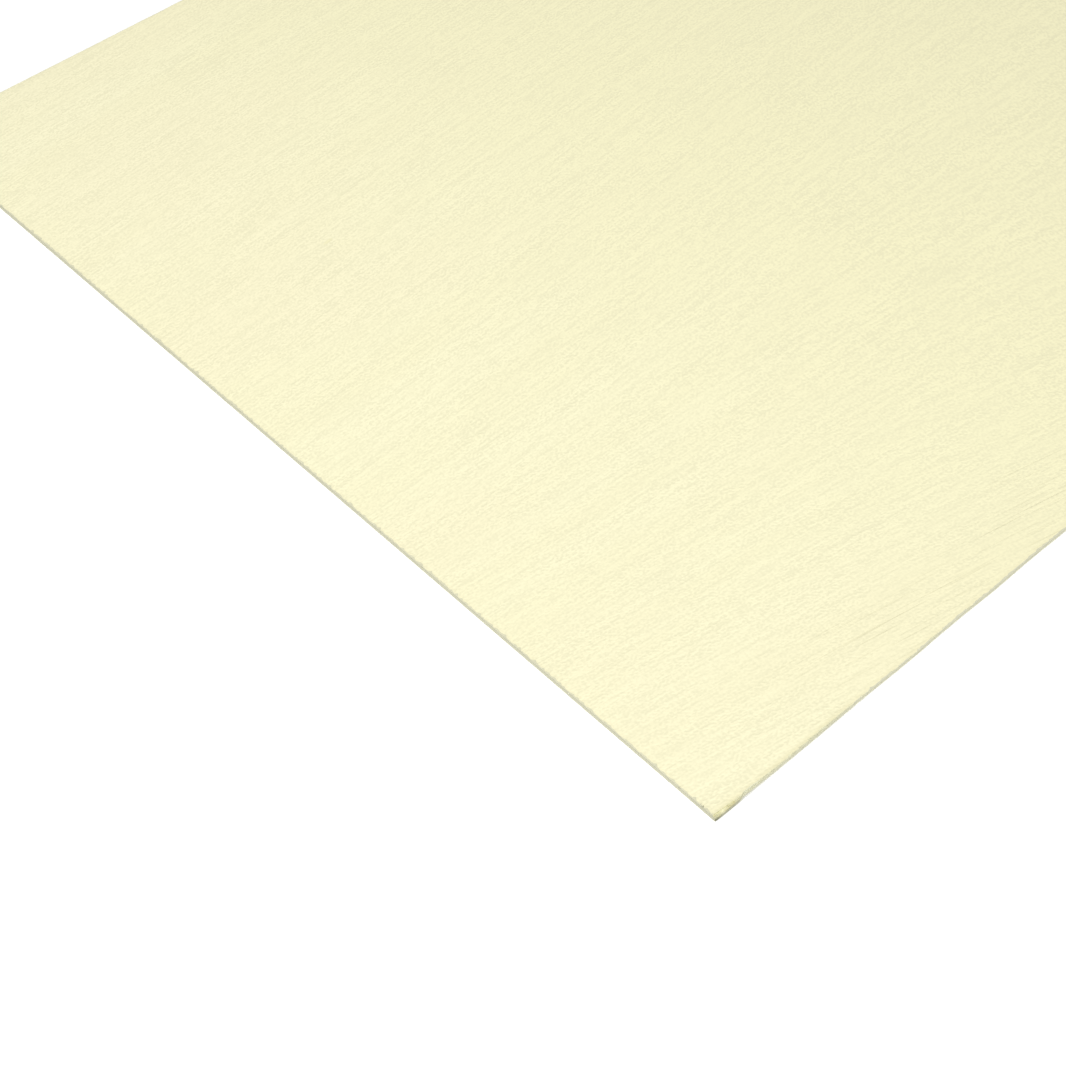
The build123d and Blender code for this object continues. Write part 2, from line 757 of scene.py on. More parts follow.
@dataclass(frozen=True)
class Chip:
    """A chip that the saw broke from the face ply at the near end, as a blunt wedge.

    Attributes:
        start: Where it starts, along the end from the near corner.
        width: How wide it is.
        run: How far in along the grain it reaches.
        depth: How deep it is.
    """

    start: float
    width: float
    run: float
    depth: float

    @property
    def end(self) -> float:
        """Where it ends, along the end from the near corner."""
        return self.start + self.width

    def reach(self, distance: float) -> float:
        """How far in it reached at a place along the end: all the way over its middle third."""
        share = (distance - self.start) / self.width
        return self.run * max(0.0, min(1.0, 3.0 * share, 3.0 * (1.0 - share)))


@dataclass(frozen=True)
class Wear:
    """The damage along the near side and the near end, at the sizes of the solid.

    These sizes are in millimetres. The splinters and chips made from them are in metres.

    Attributes:
        torn_strip: Each splinter of the torn strip from the near corner: its run, how far
            in it reached at its start, and its step.
        top_slivers: Each sliver further along the top: its start, run and step.
        bottom_splinters: Each splinter off the bottom: its start, run, reach and step.
        end_chips: Each chip at the near end: its start, width, run and depth.
    """

    torn_strip: tuple[tuple[float, float, float], ...] = (
        (4.6, 2.05, 0.34),
        (3.4, 1.75, 0.20),
        (4.1, 1.55, 0.28),
        (5.2, 1.10, 0.14),
        (5.0, 1.35, 0.22),
        (5.6, 1.00, 0.16),
        (6.4, 0.85, 0.12),
        (5.8, 0.70, 0.10),
        (5.0, 0.60, 0.12),
        (6.6, 0.85, 0.14),
        (6.0, 0.80, 0.10),
        (6.8, 0.95, 0.14),
        (6.2, 0.90, 0.12),
        (5.6, 0.65, 0.10),
        (6.0, 0.60, 0.12),
        (4.6, 0.36, 0.08),
    )
    top_slivers: tuple[tuple[float, float, float], ...] = (
        (91.5, 5.0, 0.18),
        (112.0, 4.2, 0.16),
        (122.5, 6.4, 0.26),
        (138.5, 8.2, 0.16),
        (163.0, 4.8, 0.12),
    )
    bottom_splinters: tuple[tuple[float, float, float, float], ...] = (
        (16.6, 4.6, 1.30, 0.10),
        (21.2, 4.2, 0.75, 0.06),
    )
    end_chips: tuple[tuple[float, float, float, float], ...] = (
        (7.2, 1.3, 0.9, 0.6),
        (21.0, 0.9, 0.6, 0.4),
    )

    @staticmethod
    def _splinter(start: float, run: float, reach: float, step: float) -> Splinter:
        """One splinter along the grain, from its sizes in millimetres."""
        reach_at_end = max(0.0, reach - run * math.tan(GRAIN_LEAN))
        return Splinter(*(size * MM for size in (start, run, reach, reach_at_end, step)))

    @cached_property
    def strip(self) -> list[Splinter]:
        """The splinters of the torn strip, from the near corner on.

        Returns:
            The splinters, in order.
        """
        start, found = 0.0, []
        for run, reach, step in self.torn_strip:
            found.append(self._splinter(start, run, reach, step))
            start += run
        return found

    @cached_property
    def slivers(self) -> list[Splinter]:
        """The slivers further along the top, each as far in as the grain leans over its run."""
        lean = math.tan(GRAIN_LEAN)
        return [self._splinter(s, run, run * lean, step) for s, run, step in self.top_slivers]

    @cached_property
    def off_top(self) -> list[Splinter]:
        """All the splinters off the top."""
        return [*self.strip, *self.slivers]

    @cached_property
    def undercuts(self) -> list[Splinter]:
        """The splinters off the bottom."""
        return [self._splinter(*sizes) for sizes in self.bottom_splinters]

    @cached_property
    def chips(self) -> list[Chip]:
        """The chips at the near end."""
        return [Chip(*(size * MM for size in sizes)) for sizes in self.end_chips]


def lost(splinters: Sequence[Splinter], distance: float) -> Splinter | None:
    """The first of some splinters that is gone at a place along the near side, if any is."""
    return next((s for s in splinters if s.start <= distance <= s.end), None)


@dataclass(frozen=True)
class Stretch:
    """A length of edge whose stations lie closer than elsewhere.

    Attributes:
        start: Where it starts along its side.
        end: Where it ends.
        step: The distance between its stations.
    """

    start: float
    end: float
    step: float


def stations(
    length: float, step: float, fine: Sequence[Stretch] = (), keys: Sequence[float] = ()
) -> np.ndarray:
    """Places the stations along one side.

    Args:
        length: The length of the side.
        step: The distance between stations outside the fine stretches.
        fine: The stretches with closer stations, which don't overlap.
        keys: Places with a sharp step. Each gets a station a hair before it and a hair
            after it, and no other within three hairs.

    Returns:
        The distances of the stations, in order.
    """
    hair = 0.015 * MM
    marks = [0.0, length, *(edge for s in fine for edge in (s.start, s.end))]
    bounds = sorted(m for m in set(marks) if 0.0 <= m <= length)
    places = set()
    for low, high in zip(bounds, bounds[1:]):
        middle = (low + high) / 2
        near = [s.step for s in fine if s.start <= middle <= s.end]
        count = max(1, round((high - low) / (near[0] if near else step)))
        places.update(low + (high - low) * i / count for i in range(count + 1))
    kept = [p for p in places if all(abs(p - k) > 3 * hair for k in keys)]
    kept += [k + side * hair for k in keys for side in (-1, 1)]
    return np.array(sorted(p for p in kept if 0.0 <= p <= length))


@dataclass
class SheetBody:
    """The sheet's own mesh: both faces, the sawn edges, their arrises and the damage.

    Attributes:
        low: The low corner of the solid.
        high: The high corner of the solid.
        wear: The damage.
        face_ply: The thickness of each face ply.
        corner_radius: The radius of the corners, seen from above.
        arris_radius: The radius of the sanded arrises.
        glue_step: Half the height of the groove at a glue line.
        groove: How far a glue line lies behind the plies.
        face_relief: How far the faces sink between their high places.
        mesh_step: The distance between the points inside a face.
        fan: How far along the near side the torn strip's stations fan round the corner.
        saw_wander: How far in the saw wandered along the near side, past the torn strip.
        jag: How ragged the inner line of the damage is.
        pinch: The height between points that the damage has closed up.
        corner_turns: How many stretches a rounded corner is made of.
        sharp_angle: The least angle between two faces that looks like a sharp edge.
        points: The X and Y of each station, in order round the sheet.
        inward: The direction from each station into the sheet.
        sides: The side that each station is on.
        distance: The distance of each station from the start of its side.
        shift: How far in the near side has moved at each station.
        tear_shift: How far in the inner line of the damage has moved at each station.
    """

    low: Vector
    high: Vector
    wear: Wear
    face_ply: float = 0.8 * MM
    corner_radius: float = 0.6 * MM
    arris_radius: float = 0.2 * MM
    glue_step: float = 0.04 * MM
    groove: float = 0.04 * MM
    face_relief: float = 0.05 * MM
    mesh_step: float = 9.0 * MM
    fan: float = 17.3 * MM
    saw_wander: float = 0.30 * MM
    jag: float = 0.07 * MM
    pinch: float = 0.01 * MM
    corner_turns: int = 4
    sharp_angle: float = math.radians(32.0)
    points: np.ndarray = field(init=False)
    inward: np.ndarray = field(init=False)
    sides: list[Side] = field(init=False)
    distance: np.ndarray = field(init=False)
    shift: np.ndarray = field(init=False)
    tear_shift: np.ndarray = field(init=False)

    def __post_init__(self) -> None:
        """Walks round the outline once."""
        self._walk()

    @property
    def thickness(self) -> float:
        """The thickness of the sheet."""
        return self.high.z - self.low.z

    def _side_stations(self, side: Side) -> np.ndarray:
        """The stations of one side, between its rounded corners.

        Args:
            side: The side.

        Returns:
            The distance of each station from the start of the side, in order.
        """
        length, width = self.high.x - self.low.x, self.high.y - self.low.y
        radius, wear = self.corner_radius, self.wear
        if side is Side.NEAR_SIDE:
            slack, close = 1.0 * MM, 0.35 * MM
            fine = [Stretch(0.0, self.fan, 0.2 * MM)]
            fine.append(Stretch(self.fan, wear.strip[-1].end + slack, close))
            fine += [Stretch(s.start - slack, s.end + slack, close) for s in wear.slivers]
            steps = [s.start for s in (*wear.off_top[1:], *wear.undercuts)]
            keys = [self._across_from(step) - radius for step in steps]
            return stations(length - 2 * radius, step=1.5 * MM, fine=fine, keys=keys) + radius
        if side is Side.NEAR_END:
            slack, close = 0.5 * MM, 0.15 * MM
            reach = wear.strip[0].reach_at_start
            fine = [Stretch(c.start - slack, c.end + slack, close) for c in wear.chips]
            fine.append(Stretch(0.0, reach + slack, close))
            keys = [reach - radius]
            # They are placed from the near corner, where this side ends
            found = stations(width - 2 * radius, step=1.2 * MM, fine=fine, keys=keys) + radius
            return width - found[::-1]
        whole = width if side is Side.FAR_END else length
        return stations(whole - 2 * radius, step=1.6 * MM) + radius

    def _across_from(self, inner: float) -> float:
        """The station across from a place on the inner line of the damage.

        The stations of the torn strip fan out round the near corner.

        Args:
            inner: The place, as a distance along X from the near end.

        Returns:
            The matching distance along the near side.
        """
        reach = self.wear.strip[0].reach_at_start
        return inner if inner > self.fan else inner * (self.fan + reach) / self.fan - reach

    def _inner_place(self, east: float, north: float) -> float:
        """The place on the inner line of the damage that is across from a station.

        Args:
            east: The station's distance from the near end.
            north: Its distance from the near side.

        Returns:
            The place, as a distance along X from the near end.
        """
        reach = self.wear.strip[0].reach_at_start
        path = reach + east - north
        return east if path > self.fan + reach else path * self.fan / (self.fan + reach)

    def _walk(self) -> None:
        """Sets the outline's points, their inward directions, their sides and distances."""
        turn = self.corner_radius
        starts = [
            (self.low.x, self.low.y, 0.0),
            (self.high.x, self.low.y, 90.0),
            (self.high.x, self.high.y, 180.0),
            (self.low.x, self.high.y, 270.0),
        ]
        points, inward, sides, distance = [], [], [], []
        for side, (x, y, heading) in zip(Side, starts):
            angle = math.radians(heading)
            ahead = np.array([round(math.cos(angle)), round(math.sin(angle))])
            left = np.array([-ahead[1], ahead[0]])
            # Round the corner that this side starts from, then go along it
            centre = np.array([x, y]) + (ahead + left) * turn
            for i in range(1, self.corner_turns):
                bend = math.pi / 2 * i / self.corner_turns
                spoke = ahead * math.cos(bend) + left * math.sin(bend)
                points.append(centre - spoke * turn)
                inward.append(spoke)
                sides.append(side)
                distance.append(0.0)
            for d in self._side_stations(side):
                points.append(np.array([x, y]) + ahead * d)
                inward.append(left)
                sides.append(side)
                distance.append(d)
        self.points, self.inward = np.array(points), np.array(inward, float)
        self.sides, self.distance = sides, np.array(distance)
        self._straggle()

    def _straggle(self) -> None:
        """Moves the near side in a little, past the knocked corner and where the saw wandered."""
        place = self.distance
        near = np.array([side is Side.NEAR_SIDE for side in self.sides])
        # The knocked corner has a blunt tip, and stands proud of the side up to a step
        blunt, proud, step, settled, free = np.array([5.0, 15.2, 17.3, 25.0, 34.0]) * MM
        marks = [0.0, blunt, proud, step, settled, free]
        share = np.interp(place, marks, [0.8, 0.0, 0.0, 1.7, 1.3, 0.0])
        # From there on the saw wandered, but it came back to the line at the far corner
        saw = Wander(Seed.SAW_WANDER, 45 * MM, 110 * MM, waves=6)
        wave = np.clip(0.6 + 0.35 * saw.along(place), 0.0, 1.0)
        wave *= np.interp(place, [settled, free], [0.0, 1.0])
        to_end = np.clip((self.high.x - self.low.x - place) / (8 * MM), 0.0, 1.0)
        self.shift = self.saw_wander * (share + wave * to_end) * near
        # The inner line of the damage keeps clear of that step, and then follows the side
        follow = np.interp(place, np.array([9.0, 22.0]) * MM, [0.0, 1.0])
        smooth = np.interp(place, [0.0, settled], [0.0, 1.3]) * self.saw_wander * near
        self.tear_shift = np.where(follow < 1.0, smooth * follow, self.shift)
        rise = (self.points[:, 1] - self.low.y) / self.corner_radius
        self.points[:, 1] += self.shift * np.clip(1.0 - rise, 0.0, 1.0)

    def _ply_insets(self) -> tuple[np.ndarray, np.ndarray, np.ndarray]:
        """How far each ply's sawn face lies behind the outline, round the sheet.

        Returns:
            The bottom ply's, the core's and the top ply's insets.
        """
        rng = np.random.default_rng(Seed.SAWN_EDGE)
        run = self.points.sum(axis=1)
        crossed = np.array([side.cuts_face_fibres for side in self.sides])
        insets = []
        for seed in (Seed.BOTTOM_PLY, Seed.CORE, Seed.TOP_PLY):
            # The core's fibres run across those of the faces
            is_core = seed is Seed.CORE
            end_cut = crossed != is_core
            slow = Wander(seed, 9 * MM, 70 * MM).along(run) * 0.02 * MM
            quick = Wander(seed + 10, 1.6 * MM, 6 * MM).along(run) * 0.010 * MM
            rough = rng.random(len(run)) * np.where(end_cut, 0.045, 0.012) * MM
            recess = 0.025 * MM if is_core else 0.0
            insets.append(np.clip(0.03 * MM + recess + slow + quick + rough, 0.0, None))
        return insets[0], insets[1], insets[2]

    def _gone(self) -> tuple[np.ndarray, np.ndarray, np.ndarray]:
        """What the damage took from the top face at each station.

        Returns:
            The inner point of the damage, the depth of a chip there or 0, and whether the
            station is damaged.
        """
        rng = np.random.default_rng(Seed.TORN_FLOOR)
        wave = Wander(Seed.TORN_LINE, 0.5 * MM, 2.4 * MM)
        inner, chip_depth = self.points.copy(), np.zeros(len(self.points))
        damaged = np.zeros(len(self.points), bool)
        for i, (point, side) in enumerate(zip(self.points, self.sides)):
            east, north = point[0] - self.low.x, point[1] - self.low.y
            wild = (float(wave.along(np.array(east * 1.3))) + rng.random() - 0.5) * self.jag
            place = self._inner_place(east, north)
            splinter = lost(self.wear.off_top, place)
            if splinter and side in (Side.NEAR_SIDE, Side.NEAR_END):
                deep_in = splinter.reach(place)
                # It is less ragged where it is narrow and at the corner
                deep_in += wild * min(1.0, deep_in / (0.3 * MM), place / (0.6 * MM))
                damaged[i] = True
                deep_in = self.tear_shift[i] + max(0.0, deep_in)
                inner[i] = (self.low.x + place, self.low.y + deep_in)
            elif side is Side.NEAR_END:
                for chip in self.wear.chips:
                    if chip.reach(north) > 0.0:
                        damaged[i], chip_depth[i] = True, chip.depth
                        inner[i] += (chip.reach(north), 0.0)
        inner[:, 0] = np.maximum(inner[:, 0], self.low.x + self.arris_radius)
        return inner, chip_depth, damaged

    def _floor(self, flat: np.ndarray, chip_depth: np.ndarray) -> np.ndarray:
        """How deep the floor of the damage lies under the top face.

        Args:
            flat: The X and Y of a point at each station.
            chip_depth: The depth of a chip at each station, or 0.

        Returns:
            The depth at each point, or 0 where nothing is gone.
        """
        depth = chip_depth.copy()
        for i, (x, y) in enumerate(flat):
            splinter = lost(self.wear.off_top, x - self.low.x)
            if splinter and depth[i] == 0.0:
                depth[i] = splinter.depth(x - self.low.x, y - self.low.y - self.tear_shift[i])
        return depth

    def _undercut(self, rings: Sequence[np.ndarray], outer: np.ndarray) -> np.ndarray:
        """Takes the splinters that are lost from the bottom out of the lower rings.

        Args:
            rings: The lower rings, from the bottom face up, which are changed.
            outer: The X and Y of the sawn edge at each station.

        Returns:
            Whether a splinter is lost under each station.
        """
        brink = 0.04 * MM
        cut = np.zeros(len(outer), bool)
        for i, (side, place) in enumerate(zip(self.sides, self.distance)):
            splinter = lost(self.wear.undercuts, place)
            if side is Side.NEAR_SIDE and splinter:
                cut[i] = True
                x, foot = outer[i, 0], self.low.y + self.shift[i] + splinter.reach(place)
                rings[0][i] = (x, foot + brink, rings[0][i, 2])
                rings[1][i] = (x, foot, self.low.z + splinter.step)
                for count, lower in enumerate(rings[2:]):
                    floor = self.low.z + splinter.depth(place, 0.0) + count * self.pinch
                    if lower[i, 2] < floor:
                        lower[i] = (*outer[i], floor)
        return cut

    def _sunk(self, x: np.ndarray, y: np.ndarray, seed: int) -> np.ndarray:
        """How far a face lies below its highest places, as veneer over a core does."""
        waves = Wander(seed, 35 * MM, 260 * MM, waves=24).over(x, y)
        return self.face_relief * np.clip(0.5 + 0.25 * waves, 0.0, 1.0)

    def _moved_in(self, inset: np.ndarray) -> np.ndarray:
        """The outline's points, each moved in by its inset."""
        return self.points + self.inward * inset[:, None]

    def _ring(self, inset: np.ndarray, level: np.ndarray | float) -> np.ndarray:
        """One ring of points round the sheet, from its insets and its height over the bottom."""
        levels = np.broadcast_to(self.low.z + level, len(self.points))
        return np.column_stack([self._moved_in(inset), levels])

    def _frayed(self, rng: np.random.Generator) -> tuple[np.ndarray, np.ndarray]:
        """How far the saw frayed the arris of the top face, round the sheet.

        Args:
            rng: The source of chance.

        Returns:
            How far in the fraying reaches at each station, and how far down.
        """
        radius = self.arris_radius
        rough = np.array([side.raggedness for side in self.sides])
        bite = np.clip(np.abs(rng.normal(0.0, 1.0, len(rough))), 0.0, 2.5)
        # It dies away towards each rounded corner
        low, high = np.array(self.low.xy), np.array(self.high.xy)
        to_corner = np.minimum(self.points - low, high - self.points).max(axis=1)
        reach = np.minimum(radius * (1.0 + bite * rough), radius + 0.3 * to_corner)
        # However far in it goes, it stays above the glue line
        return reach, np.minimum(reach, self.face_ply - 4 * self.glue_step)

    def _top_rings(
        self, top: np.ndarray, over: np.ndarray
    ) -> tuple[list[np.ndarray], np.ndarray, np.ndarray]:
        """The rings of the top arris, where it is sound and where it is damaged.

        Args:
            top: How far the top ply's sawn face lies behind the outline.
            over: How far the top face lies below its highest places.

        Returns:
            The rings from the sawn edge to the face, the stations that are damaged, and
            those of them where wood is torn along the grain.
        """
        rng = np.random.default_rng(Seed.FRAYING)
        ragged, drop = self._frayed(rng)
        inner, chip_depth, damaged = self._gone()
        outer = self._moved_in(top)
        gone = damaged[:, None]
        rings = []
        shares = (0.0, 0.25, 0.5, 0.75)
        for share in shares:
            turn = math.pi / 2 * share
            level = self.thickness - drop * (1 - math.sin(turn)) - over
            sound = self._ring(top + ragged * (1 - math.cos(turn)), level)
            flat = outer + (inner - outer) * (share / shares[-1])
            # The floor of the damage is a little uneven
            depth = self._floor(flat, chip_depth) * rng.uniform(0.92, 1.04, len(flat))
            torn = np.column_stack([flat, self.high.z - depth])
            rings.append(np.where(gone, torn, sound))
        # The last ring is on the face, at the brink of the damage
        brink = np.column_stack([inner + (inner - outer) * 0.04, self.high.z - over])
        rings.append(np.where(gone, brink, self._ring(top + ragged, self.thickness - over)))
        return rings, damaged, damaged & (chip_depth == 0.0)

    def _rings(self) -> tuple[np.ndarray, np.ndarray, np.ndarray]:
        """The rings of points round the sheet's rim, from the bottom face to the top.

        Returns:
            The points, as rings by stations by X, Y and Z, and the stations where wood is
            torn along the grain at the top and at the bottom.
        """
        bottom, core, top = self._ply_insets()
        ply, glue = self.face_ply, self.glue_step
        radius, height = self.arris_radius, self.thickness
        under = self._sunk(*self.points.T, Seed.BOTTOM_FACE)
        over = self._sunk(*self.points.T, Seed.TOP_FACE)
        half = radius * (1 - math.sqrt(0.5))
        waist = 0.25 * MM
        rings = [
            self._ring(bottom + radius, under),
            self._ring(bottom + half, half + under),
            self._ring(bottom, radius + under),
            self._ring(bottom, ply - glue),
            self._ring(np.maximum(bottom, core) + self.groove, ply),
            self._ring(core, ply + glue),
            self._ring(core, height / 2 - waist),
            self._ring(core, height / 2 + waist),
            self._ring(core, height - ply - glue),
            self._ring(np.maximum(core, top) + self.groove, height - ply),
            self._ring(top, height - ply + glue),
        ]
        tops, damaged, torn = self._top_rings(top, over)
        outer = self._moved_in(top)
        undercut = self._undercut(rings, outer)
        # Where the tear goes deeper than a ring, that ring closes up under the torn wood
        for i, lower in enumerate(rings):
            ceiling = tops[0][:, 2] - (len(rings) - i) * self.pinch
            cut = damaged & (lower[:, 2] > ceiling)
            lower[cut] = np.column_stack([outer, ceiling])[cut]
        return np.array(rings + tops), torn, undercut

    def _face(
        self, rim: np.ndarray, seed: int, up: bool
    ) -> tuple[list[list[float]], list[tuple[int, ...]]]:
        """Fills one face inside its rim.

        Args:
            rim: The rim's points, in order round the sheet.
            seed: The seed of the face's relief.
            up: Whether it is the top face.

        Returns:
            The new points inside the face, and the triangles, in which a number from 0 is
            a rim point and then come the new ones.
        """
        rng = np.random.default_rng(seed)
        margin = 4.0 * MM
        spans = [(low + margin, high - margin) for low, high in zip(self.low.xy, self.high.xy)]
        counts = [max(2, round((high - low) / self.mesh_step)) for low, high in spans]
        xs, ys = (np.linspace(low, high, n + 1) for (low, high), n in zip(spans, counts))
        grid_x, grid_y = (g.ravel() for g in np.meshgrid(xs, ys))
        shift = rng.uniform(-0.3, 0.3, (2, len(grid_x))) * self.mesh_step * 0.8
        grid_x = np.clip(grid_x + shift[0], *spans[0])
        grid_y = np.clip(grid_y + shift[1], *spans[1])
        sunk = self._sunk(grid_x, grid_y, seed)
        level = self.high.z - sunk if up else self.low.z + sunk
        inside = np.column_stack([grid_x, grid_y, level])
        count = len(rim)
        # The filling is worked out in millimetres, where its rounding does no harm
        flat = [Vector(p[:2] / MM) for p in rim] + [Vector(p[:2] / MM) for p in inside]
        loop = [(i, (i + 1) % count) for i in range(count)]
        _, _, faces, origins, _, _ = delaunay_2d_cdt(flat, loop, [], 1, 1e-6)
        # It numbers the points anew, and gives the number that each had
        triangles = [tuple(origins[v][0] for v in face) for face in faces]
        if not up:
            triangles = [t[::-1] for t in triangles]
        return inside.tolist(), triangles

    def build(self) -> bpy.types.Object:
        """Builds the mesh, with its finishes' slots set on its faces.

        Returns:
            The sheet.
        """
        rings, torn_top, torn_bottom = self._rings()
        levels, count = rings.shape[:2]
        points = rings.reshape(-1, 3).tolist()
        faces, skins = [], []
        for level in range(levels - 1):
            low, high = level * count, (level + 1) * count
            torn = torn_bottom if level < levels / 2 else torn_top
            for i in range(count):
                j = (i + 1) % count
                faces.append((low + i, low + j, high + j, high + i))
                skins.append(self._skin(level, levels, torn[i] or torn[j]))
        rims = ((0, Seed.BOTTOM_FACE, False), (levels - 1, Seed.TOP_FACE, True))
        for rim_level, seed, up in rims:
            inside, triangles = self._face(rings[rim_level], seed, up)
            base = len(points) - count
            for t in triangles:
                faces.append(tuple(rim_level * count + v if v < count else base + v for v in t))
                skins.append(Skin.FACE)
            points += inside
        piece = mesh_piece("sheet", points, faces)
        for polygon, skin in zip(piece.data.polygons, skins):
            polygon.material_index = skin.value
            polygon.use_smooth = True
        piece.data.set_sharp_from_angle(angle=self.sharp_angle)
        piece.data.update()
        return piece

    @staticmethod
    def _skin(level: int, levels: int, torn: bool) -> Skin:
        """The finish of the rim between one ring and the next.

        Args:
            level: The lower ring.
            levels: How many rings there are.
            torn: Whether wood is torn along the grain at this part of the rim.

        Returns:
            The finish.
        """
        # The rings turn in two steps from the bottom face, and in four to the top face
        if torn and (level < 2 or level >= levels - 1 - 4):
            return Skin.TORN
        return Skin.FACE if level < 1 else Skin.EDGE

    def dress(self, piece: bpy.types.Object) -> None:
        """Gives the sheet its three finishes, and hides the node that it stands in for.

        Args:
            piece: The sheet.
        """
        veneer = Veneer(self.low)
        edge = SawnEdge(self.face_ply, self.thickness, self.low)
        # They go into the slots in the order of Skin
        for finish in (veneer, edge, TornWood(self.low)):
            piece.data.materials.append(finish.material())
        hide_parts(SHEET_NODE)
        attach(piece, BODY)


@dataclass
class TornFibres:
    """The loose fibres that stand up in the torn strip and along the lost slivers.

    Attributes:
        low: The low corner of the solid.
        high: The high corner of the solid.
        wear: The damage.
        spacing: The distance between fibres along the torn strip.
        per_sliver: How many fibres each lost sliver left.
    """

    low: Vector
    high: Vector
    wear: Wear
    spacing: float = 0.22 * MM
    per_sliver: int = 5

    def _fibre(
        self, rng: np.random.Generator, start: Vector, length: float, room: float
    ) -> tuple[list[Vector], list[tuple[int, ...]]]:
        """One fibre: a thin tapered blade of three sides that leans along the grain.

        Args:
            rng: The source of chance.
            start: The middle of its root.
            length: How long it is.
            room: How far its tip may rise.

        Returns:
            Its points and faces.
        """
        heading = -GRAIN_LEAN + rng.normal(0.0, 0.07)
        ahead = Vector((math.cos(heading), math.sin(heading), 0.0))
        left = Vector((-ahead.y, ahead.x, 0.0))
        wide, thick = rng.uniform(0.05, 0.13) * MM, rng.uniform(0.03, 0.07) * MM
        lift = rng.uniform(0.1, 0.9) * room
        bend = rng.normal(0.0, 0.10) * length
        # It tapers, bends and lifts towards its tip
        points, sections = [], 5
        for i in range(sections):
            share = i / (sections - 1)
            size = 1.0 - 0.85 * share**1.4
            middle = start + ahead * (length * share) + left * (bend * share**2)
            middle += Vector((0.0, 0.0, lift * share**1.6))
            for across, rise in ((-1, 0), (1, 0), (0, 1)):
                corner = middle + left * (across * wide * size)
                points.append(corner + Vector((0.0, 0.0, rise * thick * size)))
        faces = [(2, 1, 0), tuple(len(points) - 3 + k for k in range(3))]
        for i in range(sections - 1):
            for k in range(3):
                a, b = i * 3 + k, i * 3 + (k + 1) % 3
                faces.append((a, b, b + 3, a + 3))
        return points, faces

    def _roots(self, rng: np.random.Generator) -> Iterator[tuple[Vector, float, float]]:
        """Places the fibres.

        Args:
            rng: The source of chance.

        Returns:
            Each fibre's root, the room above it, and a scale for its length.
        """
        for splinter in self.wear.strip:
            # The deeper a splinter tore, the more fibres it left
            share = min(1.0, splinter.reach_at_start / (1.5 * MM))
            for _ in range(round(splinter.run / self.spacing * share)):
                place = splinter.start + rng.random() * splinter.run
                yield *self._root(splinter, place, rng.uniform(0.1, 1.0)), 0.3
        for splinter in self.wear.slivers:
            for _ in range(self.per_sliver):
                place = splinter.start + rng.random() * splinter.run * 0.6
                yield *self._root(splinter, place, 0.8), 0.2

    def _root(self, splinter: Splinter, place: float, share: float) -> tuple[Vector, float]:
        """One fibre's root on the torn wood.

        Args:
            splinter: The splinter that is gone there.
            place: The root's place, along the edge from the near corner.
            share: How far in it is, as a share of the splinter's reach.

        Returns:
            The root and the room above it.
        """
        inset = splinter.reach(place) * share
        depth = splinter.depth(place, inset)
        root = Vector((self.low.x + place, self.low.y + inset, self.high.z - depth))
        return root, depth - 0.1 * MM

    def build(self) -> bpy.types.Object:
        """Builds all the fibres as one mesh.

        Returns:
            The fibres.
        """
        rng = np.random.default_rng(Seed.FIBRES)
        points, faces = [], []
        # No fibre sticks out past the sheet's near side or near end
        least_x, least_y = self.low.x + 0.05 * MM, self.low.y + 0.05 * MM
        for root, room, scale in self._roots(rng):
            length = scale * rng.uniform(3.0, 11.0) * MM
            own_points, own_faces = self._fibre(rng, root, length, max(room, 0.02 * MM))
            faces += [tuple(len(points) + v for v in f) for f in own_faces]
            points += [Vector((max(p.x, least_x), max(p.y, least_y), p.z)) for p in own_points]
        return mesh_piece("torn_fibres", points, faces)

    def dress(self, piece: bpy.types.Object) -> None:
        """Gives the fibres the finish of torn wood, a little paler.

        Args:
            piece: The fibres.
        """
        finish = TornWood(self.low, fibre=(0.76, 0.72, 0.43), gap=(0.55, 0.51, 0.27))
        piece.data.materials.append(finish.material())
        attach(piece, BODY)


# Studio


@dataclass(frozen=True)
class Softbox:
    """A soft studio light.

    Attributes:
        name: Its name.
        place: Where it is.
        aim: What it points at.
        size: The length of its side.
        power: Its power, in watts.
    """

    name: str
    place: Vector
    aim: Vector
    size: float
    power: float

    def build(self) -> bpy.types.Object:
        """Builds the light.

        Returns:
            The light.
        """
        lamp = bpy.data.lights.new(self.name, "AREA")
        lamp.energy, lamp.size = self.power, self.size
        light = put_in_scene(self.name, lamp)
        light.location = self.place
        light.rotation_euler = (self.aim - self.place).to_track_quat("-Z", "Y").to_euler()
        return light


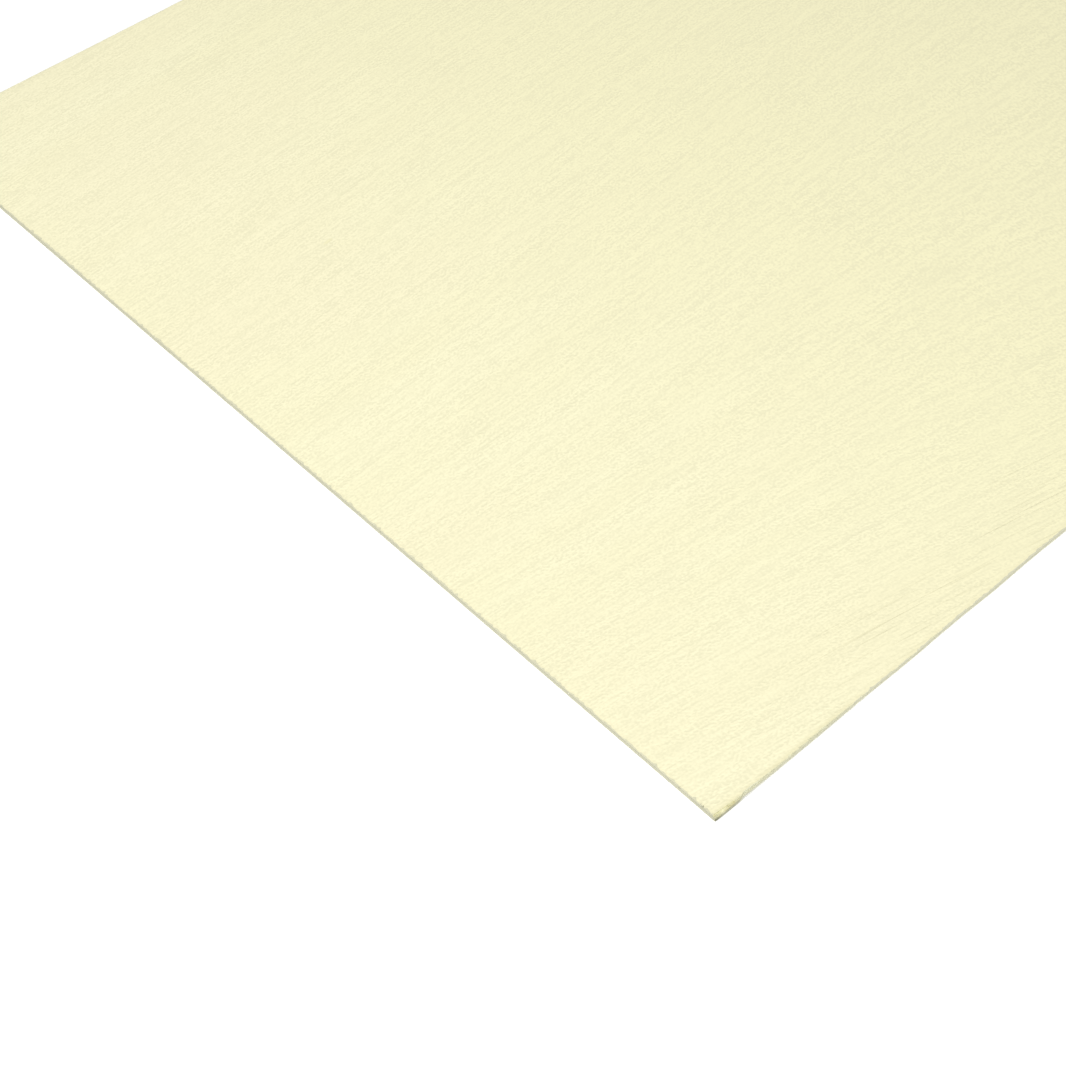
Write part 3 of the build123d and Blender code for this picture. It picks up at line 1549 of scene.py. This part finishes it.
@dataclass(frozen=True)
class Viewpoint:
    """The photograph's camera, worked out from the vanishing points of the sheet's edges.

    Attributes:
        frame: The side of the square photograph, in pixels.
        focal: The focal length, in pixels.
        sensor: The width of the sensor, in millimetres.
        heading: The camera's heading, turned from +X towards +Y.
        drop: How far the camera looks down.
        corner: The pixel of the near corner's top.
        scale: Pixels to the metre at that corner.
    """

    frame: float = 1066.0
    focal: float = 2155.0
    sensor: float = 36.0
    heading: float = math.radians(47.04)
    drop: float = math.radians(49.4)
    corner: tuple[float, float] = (715.9, 818.5)
    scale: float = 2400.0

    def build(self, near_corner: Vector) -> bpy.types.Object:
        """Builds the camera.

        Args:
            near_corner: The near corner's top.

        Returns:
            The camera.
        """
        level = Vector((math.cos(self.heading), math.sin(self.heading), 0.0))
        ahead = level * math.cos(self.drop) - Vector((0.0, 0.0, math.sin(self.drop)))
        right = level.cross(Vector((0.0, 0.0, 1.0)))
        up = right.cross(ahead)
        # The near corner's top lies this far ahead of the camera, and off its line of sight
        depth = self.focal / self.scale
        across = (self.corner[0] - self.frame / 2) / self.scale
        above = (self.frame / 2 - self.corner[1]) / self.scale
        place = near_corner - ahead * depth - right * across - up * above
        lens = bpy.data.cameras.new("photo_camera")
        lens.sensor_width = self.sensor
        lens.lens = self.focal / self.frame * self.sensor
        lens.clip_start, lens.clip_end = 0.05, 60.0
        camera = put_in_scene("photo_camera", lens)
        turn = Matrix((right, up, -ahead)).transposed().to_4x4()
        camera.matrix_world = Matrix.Translation(place) @ turn
        bpy.context.scene.camera = camera
        return camera


@dataclass(frozen=True)
class Studio:
    """A plain pale floor under plain soft light.

    Attributes:
        near_corner: The sheet's near corner, which the lights are placed from.
        floor_radius: How far the floor reaches.
        floor_corners: How many corners its outline has.
        gap: How far it lies below the sheet.
        sky: The strength of the light from all round.
    """

    near_corner: Vector
    floor_radius: float = 14.0
    floor_corners: int = 96
    gap: float = 0.02 * MM
    sky: float = 0.56

    def floor(self) -> bpy.types.Object:
        """Builds the floor, a disc just under the sheet.

        Returns:
            The floor.
        """
        count, reach = self.floor_corners, self.floor_radius
        turns = [math.tau * i / count for i in range(count)]
        rim = [(math.cos(t) * reach, math.sin(t) * reach, -self.gap) for t in turns]
        piece = mesh_piece("studio_floor", rim, [tuple(range(count))])
        piece.data.materials.append(StudioFloor().material())
        piece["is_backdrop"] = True
        return piece

    def lights(self) -> list[bpy.types.Object]:
        """Builds the lights and sets the sky.

        Returns:
            The lights.
        """
        corner = self.near_corner
        key = Softbox(
            "key_softbox",
            place=corner + Vector((-0.32, 0.18, 1.77)),
            aim=corner + Vector((0.37, 0.58, 0.0)),
            size=0.7,
            power=20.7,
        )
        side = Softbox(
            "side_softbox",
            place=corner + Vector((-1.60, -2.60, 1.20)),
            aim=corner + Vector((0.20, 0.15, 0.0)),
            size=1.2,
            power=66.0,
        )
        world = bpy.data.worlds.new("studio_sky")
        world.use_nodes = True
        background = world.node_tree.nodes["Background"]
        background.inputs["Color"].default_value = (1.0, 1.0, 1.0, 1.0)
        background.inputs["Strength"].default_value = self.sky
        bpy.context.scene.world = world
        return [box.build() for box in (key, side)]


def main() -> None:
    """Builds the sheet, its fibres and the studio, and reports each piece."""
    logging.basicConfig(level=logging.INFO, format="%(name)s: %(message)s")
    bpy.context.scene.view_settings.view_transform = "Standard"
    low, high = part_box(SHEET_NODE)
    wear = Wear()
    for maker in (SheetBody(low, high, wear), TornFibres(low, high, wear)):
        piece = maker.build()
        maker.dress(piece)
        log.info("%s: %d faces", piece.name, len(piece.data.polygons))
    studio = Studio(low)
    log.info("%s", studio.floor().name)
    for light in studio.lights():
        log.info("%s: %.0f W", light.name, light.data.energy)
    log.info("%s", Viewpoint().build(Vector((low.x, low.y, high.z))).name)
    corners = [[list(corner) for corner in box] for box in (cad_box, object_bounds())]


if __name__ == "__main__":
    main()
